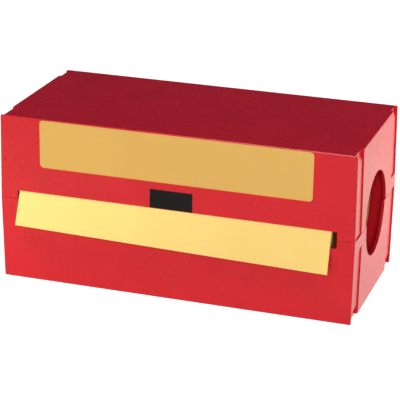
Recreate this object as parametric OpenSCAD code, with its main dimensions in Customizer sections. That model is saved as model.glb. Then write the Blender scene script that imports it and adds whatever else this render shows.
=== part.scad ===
// Shim foil dispenser: a case of two moulded halves around a roll of brass foil, whose end hangs out of a slot.
// +X runs along the roll, -Y is the slotted front and +Z is up. The origin is the centre of the case's base.

/* [Foil] */
// Width of the foil, which is the length of the roll
foil_w = 150; // [100:5:300]
// Thickness of the foil
foil_t = 0.05; // [0.03:0.01:0.3]
// Outer diameter of the roll
roll_d = 76; // [70:1:120]
// Thickness of the loosely wound turns, from the bore to the outside
roll_wall = 2; // [1:0.25:6]
// How far the roll lies from the middle of the case, along it
roll_shift = -1.2; // [-1.5:0.1:1.5]
// Length of foil that hangs out of the slot at its left edge
hang_left = 16.6; // [10:0.1:28]
// Length of foil that hangs out of the slot at its right edge
hang_right = 19.8; // [10:0.1:28]
// How much further than it has to the left edge leans out, in degrees
open_left = 8; // [1:1:30]
// How much further than it has to the right edge leans out, in degrees
open_right = 1; // [1:1:30]

/* [Case] */
// Thickness of the moulded walls
wall = 1.5; // [1.2:0.1:2.5]
// Room around the roll inside the case
roll_clear = 0.5; // [0.3:0.1:3]
// How far each wall leans in between the seam and the base of a half
lean_in = 0.5; // [0.1:0.1:1]
// Bevel of the outer edges around the base of a half
edge_bevel = 0.4; // [0.2:0.1:0.6]
// Height of the narrow groove that runs around the case where the halves meet
seam_gap = 0.2; // [0.2:0.05:0.6]
// Depth of the groove where the halves meet
seam_depth = 0.4; // [0.3:0.1:1]

/* [Slot] */
// Height of the slot, half of it in each half of the case
slot_h = 8; // [6:0.2:14]
// Room beside each edge of the foil in the slot
slot_play = 1.7; // [1.7:0.1:5]
// Length of the front wall beyond each end of the slot
slot_margin = 8.3; // [6:0.1:20]

/* [End holes] */
// Diameter of the half hole in the wide end of each half
hole_d = 40; // [24:1:48]
// Diameter of the half hole in the narrow end of each half
small_hole_d = 36; // [24:1:44]
// How far the centre of the smaller half hole lies below the rim
small_hole_drop = 2; // [0:0.5:4]

/* [Corner grooves] */
// Depth of the grooves at the corners of the ends
groove_depth = 0.6; // [0.3:0.05:1]
// Depth of the grooves at their foot, beside the base
foot_depth = 1.4; // [1.1:0.1:2.5]
// Height of the deeper foot, and of the slope above it
foot_h = 2.5; // [1:0.5:6]
// Width of the groove behind the front wall, at the wide end
front_groove_w = 12; // [6:0.5:13]
// Width of the groove before the back wall, at the wide end
back_groove_w = 9.5; // [4:0.5:12]
// How much wider the grooves are at the narrow end
groove_step = 2; // [0:0.5:3]
// Thickness of the front and back walls beside the grooves, at the base
panel_t = 1; // [0.8:0.1:1.5]
// Height of the rim that closes a groove under the seam
corner_rim_h = 6.5; // [3:0.5:15]

/* [Labels] */
// Distance from each end of the case to the front label
label_margin = 20; // [10:1:40]
// Height of the front label
label_h = 22.7; // [10:0.1:23]
// Corner radius of the front label
label_r = 1.7; // [0.5:0.1:4]
// Distance from the bevel at the top of the case to the front label
label_drop = 0.1; // [0.1:0.1:2]
// Width of the gauge label
gauge_w = 20.4; // [10:0.1:40]
// Height of the gauge label
gauge_h = 9; // [4:0.1:10]
// How far the gauge label sits from the middle, along the case
gauge_shift = -0.9; // [-30:0.1:30]
// Distance from the slot to the gauge label
gauge_rise = 0.2; // [0.1:0.1:1]
// Thickness of the labels
label_t = 0.1; // [0.05:0.05:0.3]

/* [Hidden] */
$fn = 96;
over = 1;           // how far a cut runs past the face it opens
rest_gap = 0.1;     // room under the roll where it lies on the floor of the case
foil_clear = 0.3;   // room between the foil and the edges of the slot
strips = 10;        // flat strips that make up the twisted end of the foil
leave_depth = roll_wall / 4;   // how deep in the roll the hanging foil starts

slot_l = foil_w + 2 * slot_play;
case_l = slot_l + 2 * slot_margin;
case_d = roll_d + 2 * roll_clear + 2 * wall;
case_h = roll_d + 2 * roll_clear + 2 * wall;
label_w = case_l - 2 * label_margin;
half_l = case_l / 2;
half_d = case_d / 2;
half_h = case_h / 2;
roll_r = roll_d / 2;
roll_z = wall + rest_gap + roll_r;

// The foil passes the slot just under its upper inner edge, on a line that touches the roll
slot_y = -(half_d - wall - foil_clear);
slot_z = half_h + slot_h / 2 - foil_clear;
leave_r = roll_r - leave_depth;
leave_a = atan2(slot_z - roll_z, -slot_y) + acos(leave_r / norm([slot_y, slot_z - roll_z]));
leave_y = -leave_r * cos(leave_a);
leave_z = roll_z + leave_r * sin(leave_a);
least_lean = atan((wall + 2 * foil_clear) / (slot_h - foil_clear));

// Half size of a leaning wall at a height above the base, from its half size at the seam
function leaned(half, z) = half - lean_in * (1 - z / half_h);

// A symmetric outline from the points of its right side
module mirrored_outline(side) {
    count = len(side);
    polygon(concat(side, [for (i = [1:count]) [-side[count - i][0], side[count - i][1]]]));
}

module outer_outline(half) {
    seam_z = half_h - seam_gap / 2;
    mirrored_outline([
        [half - lean_in - edge_bevel, 0],
        [leaned(half, edge_bevel), edge_bevel],
        [leaned(half, seam_z), seam_z],
        [half - seam_depth, seam_z],
        [half - seam_depth, half_h]
    ]);
}

module inner_outline(half) {
    top = half_h + over;
    mirrored_outline([[leaned(half, wall), wall], [leaned(half, top), top]]);
}

// Draw an outline of X and Z from y0 to y1
module along_y(y0, y1) {
    translate([0, y1, 0]) rotate([90, 0, 0]) linear_extrude(y1 - y0) children();
}

// Draw an outline of Y and Z from x0 to x1
module along_x(x0, x1) {
    translate([x0, 0, 0]) rotate([90, 0, 90]) linear_extrude(x1 - x0) children();
}

module outer_block() {
    intersection() {
        along_y(-half_d, half_d) outer_outline(half_l);
        along_x(-half_l, half_l) outer_outline(half_d);
    }
}

// Hollow of one half, up to end walls that stand behind the grooves
module hollow() {
    intersection() {
        along_y(-half_d, half_d) inner_outline(half_l - foot_depth - wall);
        along_x(-half_l, half_l) inner_outline(half_d - wall);
    }
}

// What sets the two ends of a half apart: 1 at the narrow end, on +X, and 0 at the wide end
function end_front_y(narrow) = -half_d + front_groove_w + groove_step * narrow;
function end_back_y(narrow) = half_d - back_groove_w - groove_step * narrow;

// Pocket behind the flush part of the end wall, between the grooves
module end_pocket(narrow) {
    x0 = narrow == 1 ? 0 : -half_l;
    x1 = narrow == 1 ? half_l : 0;
    intersection() {
        along_y(end_front_y(narrow) + wall, end_back_y(narrow) - wall) inner_outline(half_l - wall);
        along_x(x0, x1) inner_outline(half_d - wall);
    }
}

// A groove at the +X end, open below, and open above too where it has no rim
module groove(y0, y1, rimmed) {
    top = rimmed ? half_h - corner_rim_h : half_h + over;
    along_y(y0, y1) polygon([
        [leaned(half_l, -over) - foot_depth, -over],
        [half_l + over, -over],
        [half_l + over, top],
        [leaned(half_l, top) - groove_depth, top],
        [leaned(half_l, 2 * foot_h) - groove_depth, 2 * foot_h],
        [leaned(half_l, foot_h) - foot_depth, foot_h]
    ]);
}

module end_grooves(narrow) {
    panel_y = half_d - lean_in - panel_t;
    mirror([1 - narrow, 0, 0]) {
        groove(-panel_y, end_front_y(narrow), narrow == 1);
        groove(end_back_y(narrow), panel_y, narrow == 0);
    }
}

module end_hole(d, drop, x0, x1) {
    translate([x0, 0, half_h - drop]) rotate([0, 90, 0]) cylinder(h = x1 - x0, d = d);
}

module front_slot() {
    translate([-slot_l / 2, -half_d - over, half_h - slot_h / 2])
        cube([slot_l, wall + 2 * over, slot_h / 2 + over]);
}

// One moulded half as it lies on its base; the other half is the same moulding turned over end for end
module half_case() {
    difference() {
        outer_block();
        hollow();
        end_pocket(1);
        end_pocket(0);
        end_grooves(1);
        end_grooves(0);
        end_hole(small_hole_d, small_hole_drop, half_l - foot_depth - wall - over, half_l + over);
        end_hole(hole_d, 0, -half_l - over, -half_l + foot_depth + wall + over);
        front_slot();
    }
}

module lower_case() {
    color("firebrick") half_case();
}

module upper_case() {
    color("firebrick") translate([0, 0, case_h]) rotate([0, 180, 0]) half_case();
}

// Share of the way from the left edge of the foil to its right edge
function between(left, right, share) = left + (right - left) * share;
function lean_at(share) = least_lean + between(open_left, open_right, share);

// The six points of the hanging foil at one place along the roll: three down its front, three up its back
function foil_section(share) =
    let (
        x = roll_shift + between(-foil_w / 2, foil_w / 2, share),
        lean = lean_at(share),
        hang = between(hang_left, hang_right, share),
        end_y = slot_y - hang * sin(lean),
        end_z = slot_z - hang * cos(lean),
        off_y = foil_t / 2 * cos(lean),
        off_z = foil_t / 2 * sin(lean)
    )
    [
        [x, leave_y - off_y, leave_z + off_z],
        [x, slot_y - off_y, slot_z + off_z],
        [x, end_y - off_y, end_z + off_z],
        [x, end_y + off_y, end_z - off_z],
        [x, slot_y + off_y, slot_z - off_z],
        [x, leave_y + off_y, leave_z - off_z]
    ];

module hanging_foil() {
    ring = 6;
    points = [for (i = [0:strips]) each foil_section(i / strips)];
    sides = [
        for (i = [0:strips - 1], k = [0:ring - 1])
            let (a = i * ring + k, b = i * ring + (k + 1) % ring)
            each [[a, b, b + ring], [a, b + ring, a + ring]]
    ];
    left_end = [[5, 4, 1], [5, 1, 0], [4, 3, 2], [4, 2, 1]];
    last = strips * ring;
    right_end = [for (f = left_end) [last + f[2], last + f[1], last + f[0]]];
    polyhedron(points, concat(sides, left_end, right_end));
}

module brass_foil() {
    color("goldenrod") union() {
        translate([roll_shift, 0, roll_z]) rotate([0, 90, 0]) difference() {
            cylinder(h = foil_w, r = roll_r, center = true);
            cylinder(h = foil_w + 2 * over, r = roll_r - roll_wall, center = true);
        }
        hanging_foil();
    }
}

module rounded_rectangle(w, h, r) {
    square([w - 2 * r, h], center = true);
    square([w, h - 2 * r], center = true);
    for (sx = [-1, 1], sy = [-1, 1])
        translate([sx * (w / 2 - r), sy * (h / 2 - r)]) circle(r);
}

// Lay an outline on the front wall of the upper half, its middle at x and at a height above the seam
module on_upper_front(x, rise) {
    translate([0, -half_d, half_h]) rotate([-atan(lean_in / half_h), 0, 0])
        translate([x, 0, rise]) rotate([90, 0, 0]) linear_extrude(label_t) children();
}

module front_label() {
    color("khaki") on_upper_front(0, half_h - edge_bevel - label_drop - label_h / 2)
        rounded_rectangle(label_w, label_h, label_r);
}

module gauge_label() {
    color("black") on_upper_front(gauge_shift, slot_h / 2 + gauge_rise + gauge_h / 2)
        square([gauge_w, gauge_h], center = true);
}

lower_case();
upper_case();
brass_foil();
front_label();
gauge_label();
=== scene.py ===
import math

import bmesh
import bpy
from mathutils import Matrix, Vector


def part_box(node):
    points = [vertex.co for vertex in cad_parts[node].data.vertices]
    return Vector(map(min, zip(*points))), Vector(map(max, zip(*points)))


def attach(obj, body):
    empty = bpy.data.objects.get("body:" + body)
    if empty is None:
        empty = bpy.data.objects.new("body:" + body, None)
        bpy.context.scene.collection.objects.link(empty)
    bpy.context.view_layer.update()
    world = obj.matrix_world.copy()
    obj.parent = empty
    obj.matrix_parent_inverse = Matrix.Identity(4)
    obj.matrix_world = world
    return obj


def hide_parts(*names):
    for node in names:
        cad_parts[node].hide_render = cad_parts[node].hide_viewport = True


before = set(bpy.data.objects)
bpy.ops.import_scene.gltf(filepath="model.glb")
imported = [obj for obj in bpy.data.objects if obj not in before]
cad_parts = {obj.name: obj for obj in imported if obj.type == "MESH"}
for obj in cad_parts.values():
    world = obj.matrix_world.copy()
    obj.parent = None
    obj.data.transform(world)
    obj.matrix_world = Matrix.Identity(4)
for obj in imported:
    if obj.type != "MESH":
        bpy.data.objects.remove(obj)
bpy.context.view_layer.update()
bpy.context.scene.view_settings.view_transform = "Standard"
print("frame loaded:", ", ".join(sorted(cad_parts)))


# Camera, set where the photo was taken from

photoView = {
    "framePixels": 400,
    "focalPixels": 1715,
    "sensorWidth": 36.0,    # millimetres
    "nearest": 0.01,        # nothing closer is drawn
    "yaw": 18.37,           # degrees round to the right of the front
    "pitch": 20.60,         # degrees down
    "roll": 0.72,
    "distance": 0.8155,
    "aim": (-0.0003, 0.0, 0.0351),
}


def addCamera(view):
    lens = bpy.data.cameras.new("photoCamera")
    lens.sensor_width = view["sensorWidth"]
    lens.lens = view["sensorWidth"] * view["focalPixels"] / view["framePixels"]
    lens.clip_start = view["nearest"]
    camera = bpy.data.objects.new("photoCamera", lens)
    turn = (
        Matrix.Rotation(math.radians(view["yaw"]), 4, "Z")
        @ Matrix.Rotation(math.radians(90 - view["pitch"]), 4, "X")
        @ Matrix.Rotation(math.radians(view["roll"]), 4, "Z")
    )
    back = turn @ Vector((0, 0, view["distance"]))
    camera.matrix_world = Matrix.Translation(Vector(view["aim"]) + back) @ turn
    bpy.context.scene.collection.objects.link(camera)
    bpy.context.scene.camera = camera


addCamera(photoView)
print("camera placed")


# Material helpers

mixSockets = {"share": 0, "first": 6, "second": 7, "result": 2}     # places of a Mix node's colour sockets


def newMaterial(name):
    material = bpy.data.materials.new(name)
    material.use_nodes = True
    tree = material.node_tree
    return material, tree, tree.nodes["Principled BSDF"]


def setSocket(tree, socket, value):
    if isinstance(value, bpy.types.NodeSocket):     # another node's output
        tree.links.new(value, socket)
    else:
        socket.default_value = value


def addNode(tree, kind, settings=None, **sockets):
    node = tree.nodes.new(kind)
    for key, value in (settings or {}).items():
        setattr(node, key, value)
    for key, value in sockets.items():
        setSocket(tree, node.inputs[key.replace("_", " ")], value)
    return node


def calculate(tree, operation, first, second):
    node = addNode(tree, "ShaderNodeMath", {"operation": operation})
    setSocket(tree, node.inputs[0], first)
    setSocket(tree, node.inputs[1], second)
    return node.outputs[0]


def calculateVector(tree, operation, first, second):
    node = addNode(tree, "ShaderNodeVectorMath", {"operation": operation})
    setSocket(tree, node.inputs[0], first)
    setSocket(tree, node.inputs[1], second)
    return node


def remap(tree, value, span, reach):
    # eased from the two ends of span to the two ends of reach
    node = addNode(tree, "ShaderNodeMapRange", {"interpolation_type": "SMOOTHSTEP"}, Value=value,
                   From_Min=span[0], From_Max=span[1], To_Min=reach[0], To_Max=reach[1])
    return node.outputs["Result"]


def opaque(color):
    return (*color, 1)


def mixColors(tree, share, first, second):
    node = addNode(tree, "ShaderNodeMix", {"data_type": "RGBA"})
    setSocket(tree, node.inputs[mixSockets["share"]], share)
    setSocket(tree, node.inputs[mixSockets["first"]], first)
    setSocket(tree, node.inputs[mixSockets["second"]], second)
    return node.outputs[mixSockets["result"]]


def objectNoise(tree, scale, detail, stretch=(1, 1, 1)):
    place = addNode(tree, "ShaderNodeTexCoord").outputs["Object"]
    mapping = addNode(tree, "ShaderNodeMapping", Vector=place, Scale=stretch)
    noise = addNode(tree, "ShaderNodeTexNoise", Vector=mapping.outputs[0], Scale=scale, Detail=detail)
    return noise.outputs["Fac"]


def sparseSpecks(tree, scale, size, keep):
    # small round marks in a few cells, 0 or 1
    place = addNode(tree, "ShaderNodeTexCoord").outputs["Object"]
    cells = addNode(tree, "ShaderNodeTexVoronoi", Vector=place, Scale=scale)
    pick = addNode(tree, "ShaderNodeSeparateColor", Color=cells.outputs["Color"])
    chosen = calculate(tree, "LESS_THAN", pick.outputs[0], keep)
    reach = calculate(tree, "MULTIPLY", pick.outputs[1], size * scale)
    dot = calculate(tree, "LESS_THAN", cells.outputs["Distance"], reach)
    return calculate(tree, "MULTIPLY", dot, chosen)


def cloudedColor(tree, share, finish):
    return mixColors(tree, remap(tree, share, finish["colorSpan"], (0, 1)),
                     opaque(finish["deep"]), opaque(finish["color"]))


def setRoughness(tree, shader, noise, finish):
    setSocket(tree, shader.inputs["Roughness"], remap(tree, noise, finish["roughSpan"], finish["roughness"]))


def setBump(tree, shader, height, strength, distance):
    bump = addNode(tree, "ShaderNodeBump", Height=height, Strength=strength, Distance=distance)
    tree.links.new(bump.outputs[0], shader.inputs["Normal"])


# Finishes: scales are per metre, and spans are the noise values where a change begins and ends

redPlastic = {
    "color": (0.60, 0.009, 0.019),
    "deep": (0.56, 0.008, 0.017),
    "clouds": {"scale": 55, "detail": 4},       # soft clouds in the colour
    "colorSpan": (0.35, 0.65),
    "speck": (0.72, 0.22, 0.20),
    "specks": {"scale": 150, "size": 0.0004, "keep": 0.4},      # largest radius, share of cells with one
    "wear": {"scale": 140, "detail": 5},        # uneven gloss
    "roughSpan": (0.3, 0.7),
    "roughness": (0.27, 0.29),
    "lens": 1.40,           # index of refraction
    "shineTint": (1.0, 0.80, 0.72),
    "grain": {"scale": 2600, "detail": 2},      # fine moulded grain
    "grainBump": {"strength": 0.05, "distance": 0.00002},
}


def makeRedPlastic(finish):
    material, tree, shader = newMaterial("redPlastic")
    base = cloudedColor(tree, objectNoise(tree, **finish["clouds"]), finish)
    specks = sparseSpecks(tree, **finish["specks"])
    setSocket(tree, shader.inputs["Base Color"], mixColors(tree, specks, base, opaque(finish["speck"])))
    setRoughness(tree, shader, objectNoise(tree, **finish["wear"]), finish)
    shader.inputs["IOR"].default_value = finish["lens"]
    shader.inputs["Specular Tint"].default_value = opaque(finish["shineTint"])
    setBump(tree, shader, objectNoise(tree, **finish["grain"]), **finish["grainBump"])
    return material


brassFinish = {
    "color": (0.95, 0.66, 0.210),
    "deep": (0.935, 0.645, 0.200),
    "clouds": {"scale": 60, "detail": 4},
    "colorSpan": (0.35, 0.65),
    "rollLines": {"scale": 1800, "detail": 3, "stretch": (1.0, 0.02, 0.02)},    # lines run along the strip
    "roughSpan": (0.3, 0.7),
    "roughness": (0.28, 0.295),
    "metal": 1.0,
    "lineBump": {"strength": 0.012, "distance": 0.00001},
}


def makeBrass(finish):
    material, tree, shader = newMaterial("brassFoil")
    clouds = objectNoise(tree, **finish["clouds"])
    lines = objectNoise(tree, **finish["rollLines"])
    setSocket(tree, shader.inputs["Base Color"], cloudedColor(tree, clouds, finish))
    setRoughness(tree, shader, lines, finish)
    shader.inputs["Metallic"].default_value = finish["metal"]
    setBump(tree, shader, lines, **finish["lineBump"])
    return material


goldPaper = {
    "color": (0.655, 0.385, 0.087),
    "deep": (0.625, 0.365, 0.080),
    "fibres": {"scale": 900, "detail": 5, "stretch": (0.5, 1, 1)},
    "clouds": {"scale": 40, "detail": 3},
    "colorSpan": (0.1, 0.4),
    "roughSpan": (0.3, 0.7),
    "roughness": (0.42, 0.55),
    "metal": 0.25,          # a slight glint of the gold print
    "fibreBump": {"strength": 0.2, "distance": 0.00002},
}


def makeGoldPaper(finish):
    material, tree, shader = newMaterial("goldPaper")
    fibres = objectNoise(tree, **finish["fibres"])
    clouds = objectNoise(tree, **finish["clouds"])
    share = calculate(tree, "MULTIPLY", fibres, clouds)
    setSocket(tree, shader.inputs["Base Color"], cloudedColor(tree, share, finish))
    setRoughness(tree, shader, fibres, finish)
    shader.inputs["Metallic"].default_value = finish["metal"]
    setBump(tree, shader, fibres, **finish["fibreBump"])
    return material


blackPaper = {
    "color": (0.016, 0.014, 0.013),     # where it is rubbed
    "deep": (0.008, 0.007, 0.007),
    "fibres": {"scale": 1100, "detail": 5},
    "colorSpan": (0.45, 0.75),
    "roughSpan": (0.3, 0.7),
    "roughness": (0.45, 0.55),
    "shine": 0.08,
    "fibreBump": {"strength": 0.2, "distance": 0.00002},
}


def makeBlackPaper(finish):
    material, tree, shader = newMaterial("blackPaper")
    fibres = objectNoise(tree, **finish["fibres"])
    setSocket(tree, shader.inputs["Base Color"], cloudedColor(tree, fibres, finish))
    setRoughness(tree, shader, fibres, finish)
    shader.inputs["Specular IOR Level"].default_value = finish["shine"]
    setBump(tree, shader, fibres, **finish["fibreBump"])
    return material


plastic = makeRedPlastic(redPlastic)
brass = makeBrass(brassFinish)
labelFinishes = {"front_label": makeGoldPaper(goldPaper), "gauge_label": makeBlackPaper(blackPaper)}
print("finishes made")


def finishPiece(bm, name, material, node):
    mesh = bpy.data.meshes.new(name)
    bm.to_mesh(mesh)
    bm.free()
    piece = bpy.data.objects.new(name, mesh)
    bpy.context.scene.collection.objects.link(piece)
    mesh.materials.append(material)
    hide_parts(node)
    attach(piece, "root")
    return piece


# Case halves: the moulded solids with their sharp edges eased

caseEdges = {
    "weld": 1e-6,
    "flatAngle": 0.3,       # degrees, faces that meet flatter than this are one
    "sharpAngle": 60,       # degrees, edges sharper than this are eased
    "easeWidth": 0.00014,
    "easeSteps": 2,
    "shadeAngle": 40,       # degrees, edges sharper than this show as edges
}


def makeCaseHalf(node, name, edges):
    bm = bmesh.new()
    bm.from_mesh(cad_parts[node].data)
    bmesh.ops.remove_doubles(bm, verts=bm.verts, dist=edges["weld"])
    bmesh.ops.dissolve_limit(bm, angle_limit=math.radians(edges["flatAngle"]), verts=bm.verts,
                             edges=bm.edges)
    sharp = [e for e in bm.edges if e.calc_face_angle() > math.radians(edges["sharpAngle"])]
    bmesh.ops.bevel(bm, geom=sharp, offset=edges["easeWidth"], offset_type="OFFSET", affect="EDGES",
                    segments=edges["easeSteps"], profile=0.5, material=-1, clamp_overlap=False)
    for face in bm.faces:
        face.smooth = True
        face.material_index = 0
    piece = finishPiece(bm, name, plastic, node)
    piece.data.set_sharp_from_angle(angle=math.radians(edges["shadeAngle"]))
    weigh = piece.modifiers.new("flatWalls", "WEIGHTED_NORMAL")
    weigh.keep_sharp = True


makeCaseHalf("lower_case", "lowerShell", caseEdges)
makeCaseHalf("upper_case", "upperShell", caseEdges)
print("case halves eased")


# Foil: one strip, wound from the bore outwards, that leaves the roll and hangs out of the slot

foilStrip = {
    "thick": 0.00005,
    "rollRadius": 0.038,
    "boreRadius": 0.036,
    "length": 2.5,              # wound in the roll
    "columns": 10,              # faces across the strip
    "stepsPerTurn": 72,
    "slotY": -0.0382,           # where it bends, inside the front wall and under the slot's upper edge
    "slotZ": 0.0437,
    "hang": (0.0166, 0.0198),   # left and right edge
    "lean": (23.26, 16.26),     # degrees out from straight down, left and right edge
    "hangRows": (0.03, 0.1, 0.25, 0.4, 0.55, 0.7, 0.85, 1.0),   # shares of the way down
}


def extrudeRow(bm, row):
    grown = bmesh.ops.extrude_edge_only(bm, edges=row)["geom"]
    fresh = {v for v in grown if isinstance(v, bmesh.types.BMVert)}
    return [e for e in grown if isinstance(e, bmesh.types.BMEdge) and fresh.issuperset(e.verts)]


def rowVerts(row):
    return list({v for e in row for v in e.verts})


def between(ends, share):
    return ends[0] + (ends[1] - ends[0]) * share


def makeFoil(foil):
    low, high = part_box("brass_foil")
    axis = Vector((0, high.y - foil["rollRadius"], low.z + foil["rollRadius"]))
    half = foil["thick"] / 2
    outer = foil["rollRadius"] - half
    inner = foil["boreRadius"] + half
    turns = foil["length"] / (math.pi * (outer + inner))
    toSlot = Vector((0, foil["slotY"], foil["slotZ"])) - axis
    rise = math.atan2(toSlot.z, -toSlot.y) + math.acos(outer / toSlot.length)
    leave = math.pi - rise      # where the strip leaves the roll, from +Y up and over
    steps = round(turns * foil["stepsPerTurn"])
    turn = 2 * math.pi * turns / steps
    grow = (outer / inner) ** (1 / steps)

    # the roll, one row at a time
    bm = bmesh.new()
    start = Matrix.Rotation(leave - turn * steps, 4, "X") @ Vector((0, inner, 0))
    ends = [bm.verts.new(Vector((x, 0, 0)) + axis + start) for x in (low.x, high.x)]
    first = bm.edges.new(ends)
    bmesh.ops.subdivide_edges(bm, edges=[first], cuts=foil["columns"] - 1)
    row = list(bm.edges)
    aboutAxis = Matrix.Translation(-axis)
    for step in range(steps):
        row = extrudeRow(bm, row)
        verts = rowVerts(row)
        bmesh.ops.rotate(bm, verts=verts, cent=axis, matrix=Matrix.Rotation(turn, 3, "X"))
        bmesh.ops.scale(bm, verts=verts, vec=(1, grow, grow), space=aboutAxis)

    # straight to the slot, then the hanging end
    row = extrudeRow(bm, row)
    for vert in rowVerts(row):
        vert.co.y = foil["slotY"]
        vert.co.z = foil["slotZ"]
    for down in foil["hangRows"]:
        row = extrudeRow(bm, row)
        for vert in rowVerts(row):
            share = (vert.co.x - low.x) / (high.x - low.x)
            lean = math.radians(between(foil["lean"], share))
            reach = between(foil["hang"], share) * down
            vert.co.y = foil["slotY"] - math.sin(lean) * reach
            vert.co.z = foil["slotZ"] - math.cos(lean) * reach
    bmesh.ops.recalc_face_normals(bm, faces=bm.faces)
    for face in bm.faces:
        face.smooth = True
    for edge in bm.edges:
        edge.smooth = not edge.is_boundary
    piece = finishPiece(bm, "foilStrip", brass, "brass_foil")
    wall = piece.modifiers.new("foilThickness", "SOLIDIFY")
    wall.thickness = foil["thick"]
    wall.offset = 0
    return piece


foil = makeFoil(foilStrip)
print("foil wound:", len(foil.data.polygons), "faces")


# Labels: bare paper on the front wall

for node, material in labelFinishes.items():
    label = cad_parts[node]
    label.data.materials.clear()
    label.data.materials.append(material)
print("labels finished")


# Floor and light

studio = {
    "floorRadius": 20.0,
    "floorSides": 96,
    "wallHeight": 1.0,          # low pale wall round the floor, for level views
    "floorColor": (0.50, 0.50, 0.50),
    "floorLift": 0.88,          # what the floor adds where it is seen, so that it shows white
    "worldLow": (0.04, 0.04, 0.085),
    "glows": [(-29, 28, 1.66), (-12, 7, 0.70)],     # soft glows the foil mirrors: degrees round, up, level
    "glowSpan": (0.90, 0.995),  # cosines where a glow begins and where it is full
}


def addFloor(setup):
    bm = bmesh.new()
    bmesh.ops.create_circle(bm, cap_ends=True, segments=setup["floorSides"], radius=setup["floorRadius"])
    grown = bmesh.ops.extrude_edge_only(bm, edges=bm.edges[:])["geom"]
    wallTop = [v for v in grown if isinstance(v, bmesh.types.BMVert)]
    bmesh.ops.translate(bm, verts=wallTop, vec=(0, 0, setup["wallHeight"]))
    mesh = bpy.data.meshes.new("floor")
    bm.to_mesh(mesh)
    bm.free()
    floor = bpy.data.objects.new("floor", mesh)
    bpy.context.scene.collection.objects.link(floor)
    material, tree, shader = newMaterial("paleFloor")
    shader.inputs["Base Color"].default_value = opaque(setup["floorColor"])
    shader.inputs["Roughness"].default_value = 1.0
    shader.inputs["Specular IOR Level"].default_value = 0.0
    shader.inputs["Emission Color"].default_value = (1, 1, 1, 1)
    path = addNode(tree, "ShaderNodeLightPath")
    seen = calculate(tree, "MAXIMUM", path.outputs["Is Camera Ray"], path.outputs["Is Glossy Ray"])
    seen = calculate(tree, "MAXIMUM", seen, path.outputs["Is Transmission Ray"])
    lift = calculate(tree, "MULTIPLY", seen, setup["floorLift"])
    setSocket(tree, shader.inputs["Emission Strength"], lift)
    mesh.materials.append(material)


def addWorld(setup):
    world = bpy.data.worlds.new("studio")
    world.use_nodes = True
    bpy.context.scene.world = world
    tree = world.node_tree
    way = addNode(tree, "ShaderNodeTexCoord").outputs["Generated"]
    level = 0.0
    for around, up, brightness in setup["glows"]:
        turn = Matrix.Rotation(math.radians(around), 3, "Z") @ Matrix.Rotation(math.radians(-up), 3, "X")
        nearness = calculateVector(tree, "DOT_PRODUCT", way, turn @ Vector((0, -1, 0))).outputs["Value"]
        glow = remap(tree, nearness, setup["glowSpan"], (0, brightness))
        level = calculate(tree, "MAXIMUM", level, glow)
    color = calculateVector(tree, "MAXIMUM", level, setup["worldLow"]).outputs["Vector"]
    setSocket(tree, tree.nodes["Background"].inputs["Color"], color)


white = (1, 1, 1)
caseMiddle = (0, 0, 0.04)
lamps = {       # a mirrored lamp also shows in glossy surfaces
    "keyLamp": {
        "place": (0.338, -1.168, 0.623), "aim": caseMiddle, "size": (0.08, 0.09),
        "power": 4.3, "color": white, "mirrored": True,
    },
    "holeLamp": {       # shines into the hole of the right end
        "place": (0.27, -0.72, 0.28), "aim": caseMiddle, "size": (0.06, 0.06),
        "power": 1.95, "color": white, "mirrored": True,
    },
    "rightLamp": {
        "place": (0.30, 0.15, 0.085), "aim": caseMiddle, "size": (0.1, 0.1),
        "power": 0.75, "color": (1, 0.95, 0.55), "mirrored": False,
    },
    "leftLamp": {
        "place": (-0.26, -0.20, 0.07), "aim": caseMiddle, "size": (0.1, 0.1),
        "power": 0.13, "color": (1, 0.95, 0.70), "mirrored": False,
    },
    "floorLamp": {      # shines down on the floor, which lights the left of the front
        "place": (-0.16, -0.18, 0.055), "aim": (-0.16, -0.18, 0), "size": (0.14, 0.2),
        "power": 0.15, "color": (1, 0.95, 0.60), "mirrored": False,
    },
    "backLamp": {       # low, so that it leaves the top as it is
        "place": (-0.35, 0.75, 0.085), "aim": caseMiddle, "size": (0.2, 0.1),
        "power": 2.4, "color": white, "mirrored": False,
    },
    "edgeLamp": {       # above, for the glint along the front edge of the top
        "place": (-0.15, -0.36, 1.00), "aim": caseMiddle, "size": (0.3, 0.2),
        "power": 2.9, "color": white, "mirrored": True,
    },
}


def addLamp(name, lamp):
    light = bpy.data.lights.new(name, "AREA")
    light.shape = "RECTANGLE"
    light.size, light.size_y = lamp["size"]
    light.energy = lamp["power"]
    light.color = lamp["color"]
    holder = bpy.data.objects.new(name, light)
    holder.location = lamp["place"]
    holder.visible_camera = False
    holder.visible_glossy = lamp["mirrored"]
    toAim = Vector(lamp["aim"]) - Vector(lamp["place"])
    holder.rotation_euler = toAim.to_track_quat("-Z", "Y").to_euler()
    bpy.context.scene.collection.objects.link(holder)


addFloor(studio)
addWorld(studio)
for lampName, lamp in lamps.items():
    addLamp(lampName, lamp)
print("stage lit")
